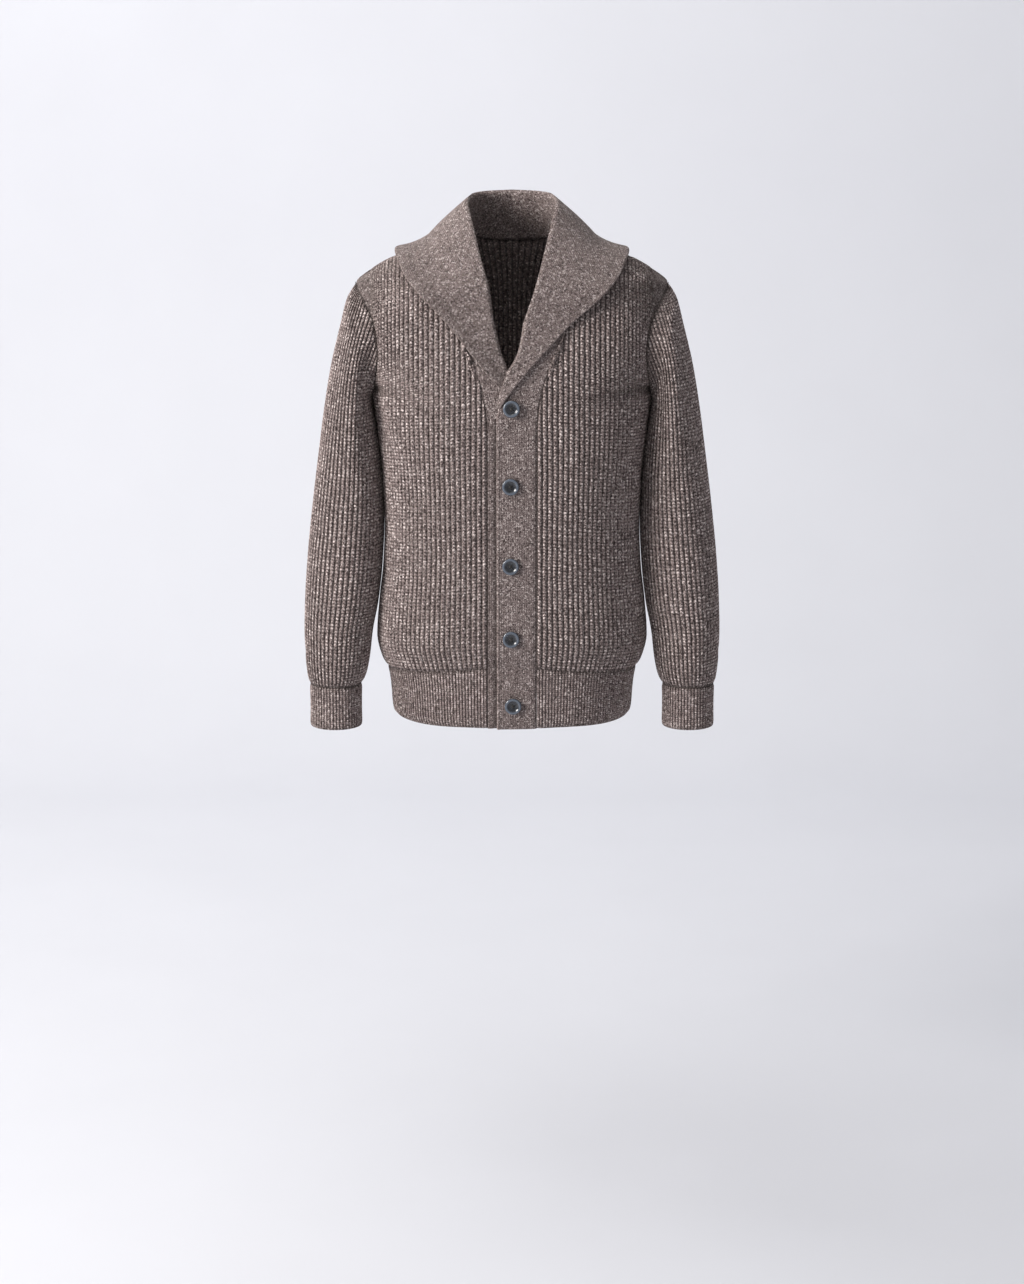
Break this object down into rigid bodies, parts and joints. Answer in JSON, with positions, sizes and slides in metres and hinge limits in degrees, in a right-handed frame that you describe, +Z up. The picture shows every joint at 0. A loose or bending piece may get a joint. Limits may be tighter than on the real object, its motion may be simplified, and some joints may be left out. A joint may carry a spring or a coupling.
{
  "type": "shawl collar cardigan",
  "caption": "Buttoned rib knit cardigan with a wide shawl collar, hollow and open at the neck, hem and cuffs, in its worn shape.",
  "frame": {"origin": "middle of the neck at the height where the shoulder seams meet the neckline, where the wearer's shoulders hold the garment", "axes": "+Z up, -Y out of the buttoned front, +X towards the wearer's left sleeve"},
  "size_m": [0.575, 0.2574, 0.7338],
  "materials": {
    "body_rib_knit": "chunky fisherman rib in marled grey brown wool, soft and matt with pale and dark flecks",
    "fine_rib_knit": "fine one by one rib in the same marled wool, matt",
    "collar_knit": "dense smooth knit in the same marled wool, slightly lighter and felted",
    "button_resin": "moulded resin with a polished raised rim, near black"
  },
  "bodies": {
    "root": {"front_left": "body_rib_knit", "front_right": "body_rib_knit", "back": "body_rib_knit", "sleeve_left": "body_rib_knit", "sleeve_right": "body_rib_knit", "cuff_left": "fine_rib_knit", "cuff_right": "fine_rib_knit", "hem_left": "fine_rib_knit", "hem_right": "fine_rib_knit", "hem_back": "fine_rib_knit", "band_over": "collar_knit", "band_under": "collar_knit", "collar": "collar_knit", "button_1": "button_resin", "button_2": "button_resin", "button_3": "button_resin", "button_4": "button_resin", "button_5": "button_resin"}
  },
  "joints": []
}
